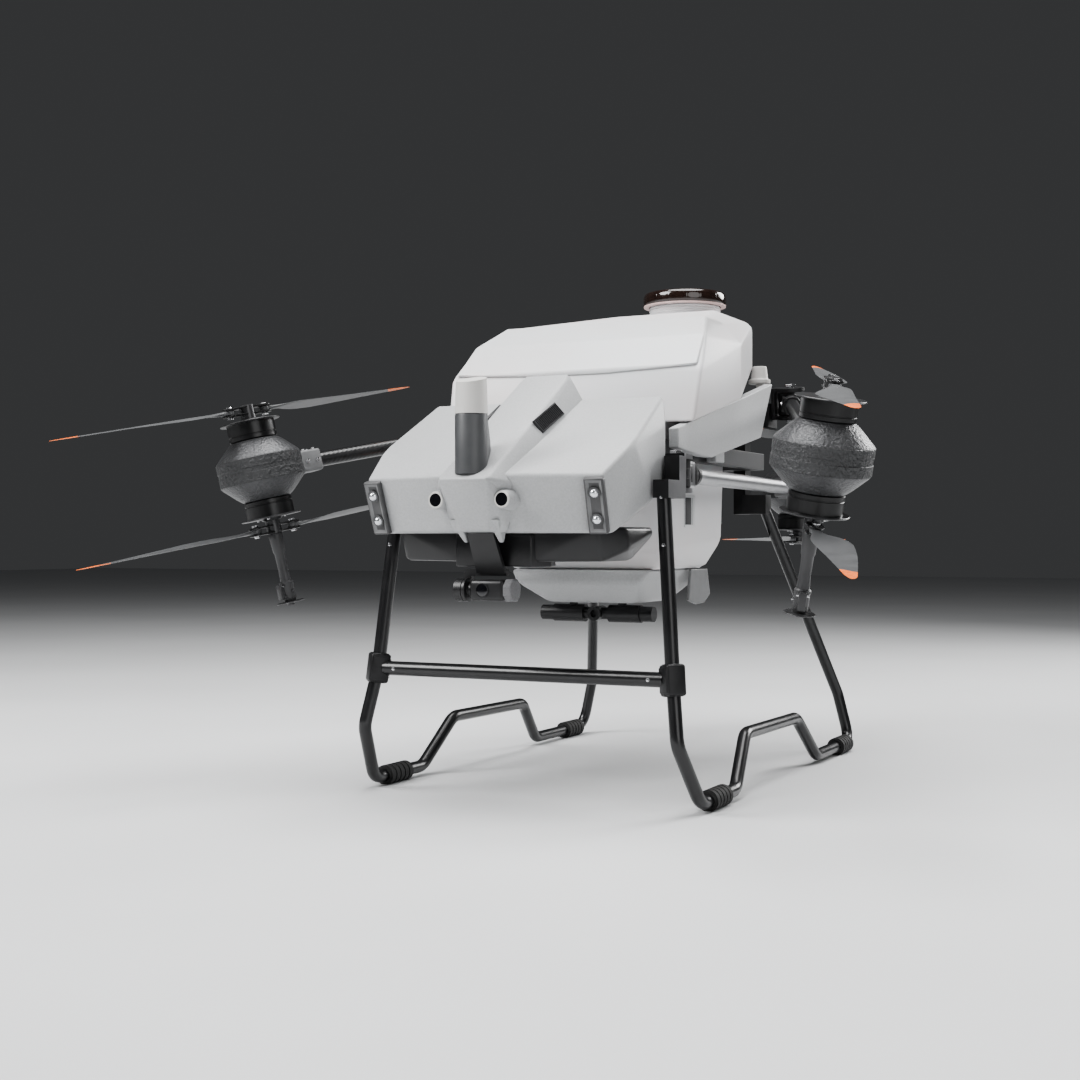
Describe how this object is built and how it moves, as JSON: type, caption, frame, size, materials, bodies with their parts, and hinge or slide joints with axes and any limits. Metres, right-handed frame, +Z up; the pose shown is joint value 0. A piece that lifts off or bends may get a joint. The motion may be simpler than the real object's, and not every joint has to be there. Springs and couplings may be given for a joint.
{
  "type": "agricultural spray drone",
  "caption": "Folding agricultural spray drone with eight coaxial rotors on four arms, a liquid tank, spray discs and bent-tube landing gear.",
  "frame": {"origin": "on the ground, midway between the four feet", "axes": "+Z up, -Y towards the nose, +X towards the right-hand arms as seen from above with the nose down the page"},
  "size_m": [1.2193, 1.525, 0.851],
  "materials": {
    "light_shell": "satin light grey",
    "tank_plastic": "translucent white",
    "black_plastic": "satin black",
    "dark_frame": "satin dark grey",
    "black_metal": "black anodised",
    "black_tube": "satin carbon tube",
    "ribbed_tube": "satin silver",
    "bright_steel": "polished",
    "pad_rubber": "matte",
    "cap_plastic": "glossy dark brown",
    "lamp_grey": "satin",
    "lens": "clear",
    "cast_pod": "hammered dark grey casting",
    "motor_black": "satin black",
    "blade_grey": "satin composite with orange tips",
    "nozzle_grey": "satin dark grey"
  },
  "bodies": {
    "airframe": {"centre_frame": "dark_frame", "side_beams": "light_shell", "rear_frame": "dark_frame", "tank": "tank_plastic", "sump": "light_shell", "sump_guard": "dark_frame", "nose_shell": "light_shell", "nose_tray": "black_plastic", "clear_lenses": "lens", "lamp_housings": "lamp_grey", "mast": "light_shell", "camera_bracket": "black_plastic", "arm_hinges": "black_metal", "hinge_pins": "bright_steel", "front_legs": "black_tube", "leg_clamps": "black_metal", "skids": "black_tube", "skid_pads": "pad_rubber", "pumps": "black_plastic", "battery": "black_plastic", "antennas": "light_shell"},
    "fill_cap": {"fill_cap": "cap_plastic"},
    "camera_head": {"camera_head": "black_plastic", "camera_lens": "lens"},
    "arm_front_left": {"arm_front_left": "ribbed_tube", "pod_front_left": "cast_pod"},
    "rotor_front_left_upper": {"rotor_front_left_upper": "motor_black"},
    "blade_front_left_upper_1": {"blade_front_left_upper_1": "blade_grey"},
    "blade_front_left_upper_2": {"blade_front_left_upper_2": "blade_grey"},
    "rotor_front_left_lower": {"rotor_front_left_lower": "motor_black"},
    "blade_front_left_lower_1": {"blade_front_left_lower_1": "blade_grey"},
    "blade_front_left_lower_2": {"blade_front_left_lower_2": "blade_grey"},
    "arm_front_right": {"arm_front_right": "ribbed_tube", "pod_front_right": "cast_pod"},
    "rotor_front_right_upper": {"rotor_front_right_upper": "motor_black"},
    "blade_front_right_upper_1": {"blade_front_right_upper_1": "blade_grey"},
    "blade_front_right_upper_2": {"blade_front_right_upper_2": "blade_grey"},
    "rotor_front_right_lower": {"rotor_front_right_lower": "motor_black"},
    "blade_front_right_lower_1": {"blade_front_right_lower_1": "blade_grey"},
    "blade_front_right_lower_2": {"blade_front_right_lower_2": "blade_grey"},
    "arm_rear_left": {"nozzle_rod_left": "nozzle_grey", "arm_rear_left": "black_tube", "pod_rear_left": "cast_pod"},
    "rotor_rear_left_upper": {"rotor_rear_left_upper": "motor_black"},
    "blade_rear_left_upper_1": {"blade_rear_left_upper_1": "blade_grey"},
    "blade_rear_left_upper_2": {"blade_rear_left_upper_2": "blade_grey"},
    "rotor_rear_left_lower": {"rotor_rear_left_lower": "motor_black"},
    "blade_rear_left_lower_1": {"blade_rear_left_lower_1": "blade_grey"},
    "blade_rear_left_lower_2": {"blade_rear_left_lower_2": "blade_grey"},
    "spray_disc_left": {"spray_disc_left": "nozzle_grey"},
    "arm_rear_right": {"nozzle_rod_right": "nozzle_grey", "arm_rear_right": "black_tube", "pod_rear_right": "cast_pod"},
    "rotor_rear_right_upper": {"rotor_rear_right_upper": "motor_black"},
    "blade_rear_right_upper_1": {"blade_rear_right_upper_1": "blade_grey"},
    "blade_rear_right_upper_2": {"blade_rear_right_upper_2": "blade_grey"},
    "rotor_rear_right_lower": {"rotor_rear_right_lower": "motor_black"},
    "blade_rear_right_lower_1": {"blade_rear_right_lower_1": "blade_grey"},
    "blade_rear_right_lower_2": {"blade_rear_right_lower_2": "blade_grey"},
    "spray_disc_right": {"spray_disc_right": "nozzle_grey"}
  },
  "joints": [
    {"name": "fill_cap_twist", "type": "hinge", "parent": "airframe", "child": "fill_cap", "pos_m": [0, 0.25, 0.83], "axis": [0, 0, 1], "range_deg": [0, 90]},
    {"name": "camera_tilt", "type": "hinge", "parent": "airframe", "child": "camera_head", "pos_m": [0, -0.52, 0.32], "axis": [1, 0, 0], "range_deg": [-20, 90]},
    {"name": "arm_front_left_fold", "type": "hinge", "parent": "airframe", "child": "arm_front_left", "pos_m": [-0.205, -0.312, 0.49], "axis": [0, 0, 1], "range_deg": [0, 96]},
    {"name": "rotor_front_left_upper_spin", "type": "hinge", "parent": "arm_front_left", "child": "rotor_front_left_upper", "pos_m": [-0.1604, 0.43868, 0.49], "axis": [0, 0, -1], "range_deg": [0, 55]},
    {"name": "blade_front_left_upper_1_fold", "type": "hinge", "parent": "rotor_front_left_upper", "child": "blade_front_left_upper_1", "pos_m": [-0.15878, 0.47064, 0.49], "axis": [0, 0, -1], "range_deg": [-80, 80]},
    {"name": "blade_front_left_upper_2_fold", "type": "hinge", "parent": "rotor_front_left_upper", "child": "blade_front_left_upper_2", "pos_m": [-0.1623, 0.40673, 0.49], "axis": [0, 0, -1], "range_deg": [0, 80]},
    {"name": "rotor_front_left_lower_spin", "type": "hinge", "parent": "arm_front_left", "child": "rotor_front_left_lower", "pos_m": [-0.1604, 0.43868, 0.49], "axis": [0, 0, 1], "range_deg": [0, 50]},
    {"name": "blade_front_left_lower_1_fold", "type": "hinge", "parent": "rotor_front_left_lower", "child": "blade_front_left_lower_1", "pos_m": [-0.16018, 0.47068, 0.49], "axis": [0, 0, 1], "range_deg": [-25, 80]},
    {"name": "blade_front_left_lower_2_fold", "type": "hinge", "parent": "rotor_front_left_lower", "child": "blade_front_left_lower_2", "pos_m": [-0.15728, 0.40683, 0.49], "axis": [0, 0, 1], "range_deg": [0, 60]},
    {"name": "arm_front_right_fold", "type": "hinge", "parent": "airframe", "child": "arm_front_right", "pos_m": [0.205, -0.312, 0.49], "axis": [0, 0, -1], "range_deg": [0, 96]},
    {"name": "rotor_front_right_upper_spin", "type": "hinge", "parent": "arm_front_right", "child": "rotor_front_right_upper", "pos_m": [0.1604, 0.43868, 0.49], "axis": [0, 0, 1], "range_deg": [0, 55]},
    {"name": "blade_front_right_upper_1_fold", "type": "hinge", "parent": "rotor_front_right_upper", "child": "blade_front_right_upper_1", "pos_m": [0.15878, 0.47064, 0.49], "axis": [0, 0, 1], "range_deg": [-80, 80]},
    {"name": "blade_front_right_upper_2_fold", "type": "hinge", "parent": "rotor_front_right_upper", "child": "blade_front_right_upper_2", "pos_m": [0.1623, 0.40673, 0.49], "axis": [0, 0, 1], "range_deg": [0, 80]},
    {"name": "rotor_front_right_lower_spin", "type": "hinge", "parent": "arm_front_right", "child": "rotor_front_right_lower", "pos_m": [0.1604, 0.43868, 0.49], "axis": [0, 0, -1], "range_deg": [0, 50]},
    {"name": "blade_front_right_lower_1_fold", "type": "hinge", "parent": "rotor_front_right_lower", "child": "blade_front_right_lower_1", "pos_m": [0.16018, 0.47068, 0.49], "axis": [0, 0, -1], "range_deg": [-25, 80]},
    {"name": "blade_front_right_lower_2_fold", "type": "hinge", "parent": "rotor_front_right_lower", "child": "blade_front_right_lower_2", "pos_m": [0.15728, 0.40683, 0.49], "axis": [0, 0, -1], "range_deg": [0, 60]},
    {"name": "arm_rear_left_fold", "type": "hinge", "parent": "airframe", "child": "arm_rear_left", "pos_m": [-0.202, 0.26, 0.64], "axis": [0.0189, 0.1702, -0.9852], "range_deg": [-5, 80]},
    {"name": "rotor_rear_left_upper_spin", "type": "hinge", "parent": "arm_rear_left", "child": "rotor_rear_left_upper", "pos_m": [-0.4653, -0.43132, 0.50489], "axis": [-0.183, -0.121, 0.9756], "continuous": true},
    {"name": "blade_rear_left_upper_1_fold", "type": "hinge", "parent": "rotor_rear_left_upper", "child": "blade_rear_left_upper_1", "pos_m": [-0.47803, -0.46007, 0.49894], "axis": [-0.183, -0.121, 0.9756], "range_deg": [-80, 80]},
    {"name": "blade_rear_left_upper_2_fold", "type": "hinge", "parent": "rotor_rear_left_upper", "child": "blade_rear_left_upper_2", "pos_m": [-0.4541, -0.4019, 0.51064], "axis": [-0.183, -0.121, 0.9756], "range_deg": [-80, 80]},
    {"name": "rotor_rear_left_lower_spin", "type": "hinge", "parent": "arm_rear_left", "child": "rotor_rear_left_lower", "pos_m": [-0.4653, -0.43132, 0.50489], "axis": [-0.183, -0.121, 0.9756], "range_deg": [-5, 85]},
    {"name": "blade_rear_left_lower_1_fold", "type": "hinge", "parent": "rotor_rear_left_lower", "child": "blade_rear_left_lower_1", "pos_m": [-0.47902, -0.45958, 0.49882], "axis": [-0.183, -0.121, 0.9756], "range_deg": [-80, 80]},
    {"name": "blade_rear_left_lower_2_fold", "type": "hinge", "parent": "rotor_rear_left_lower", "child": "blade_rear_left_lower_2", "pos_m": [-0.44687, -0.40601, 0.51149], "axis": [-0.183, -0.121, 0.9756], "range_deg": [-5, 80]},
    {"name": "spray_disc_left_spin", "type": "hinge", "parent": "arm_rear_left", "child": "spray_disc_left", "pos_m": [-0.4653, -0.43132, 0.50489], "axis": [-0.183, -0.121, 0.9756], "continuous": true},
    {"name": "arm_rear_right_fold", "type": "hinge", "parent": "airframe", "child": "arm_rear_right", "pos_m": [0.202, 0.26, 0.64], "axis": [0.0189, -0.1702, 0.9852], "range_deg": [-5, 80]},
    {"name": "rotor_rear_right_upper_spin", "type": "hinge", "parent": "arm_rear_right", "child": "rotor_rear_right_upper", "pos_m": [0.4653, -0.43132, 0.50489], "axis": [0.183, -0.121, 0.9756], "continuous": true},
    {"name": "blade_rear_right_upper_1_fold", "type": "hinge", "parent": "rotor_rear_right_upper", "child": "blade_rear_right_upper_1", "pos_m": [0.4765, -0.46074, 0.49915], "axis": [0.183, -0.121, 0.9756], "range_deg": [-80, 80]},
    {"name": "blade_rear_right_upper_2_fold", "type": "hinge", "parent": "rotor_rear_right_upper", "child": "blade_rear_right_upper_2", "pos_m": [0.4541, -0.4019, 0.51064], "axis": [0.183, -0.121, 0.9756], "range_deg": [-80, 80]},
    {"name": "rotor_rear_right_lower_spin", "type": "hinge", "parent": "arm_rear_right", "child": "rotor_rear_right_lower", "pos_m": [0.4653, -0.43132, 0.50489], "axis": [-0.183, 0.121, -0.9756], "range_deg": [-10, 85]},
    {"name": "blade_rear_right_lower_1_fold", "type": "hinge", "parent": "rotor_rear_right_lower", "child": "blade_rear_right_lower_1", "pos_m": [0.47853, -0.45983, 0.49888], "axis": [-0.183, 0.121, -0.9756], "range_deg": [-80, 80]},
    {"name": "blade_rear_right_lower_2_fold", "type": "hinge", "parent": "rotor_rear_right_lower", "child": "blade_rear_right_lower_2", "pos_m": [0.45991, -0.40016, 0.50977], "axis": [-0.183, 0.121, -0.9756], "range_deg": [-10, 80]},
    {"name": "spray_disc_right_spin", "type": "hinge", "parent": "arm_rear_right", "child": "spray_disc_right", "pos_m": [0.4653, -0.43132, 0.50489], "axis": [0.183, -0.121, 0.9756], "continuous": true}
  ]
}
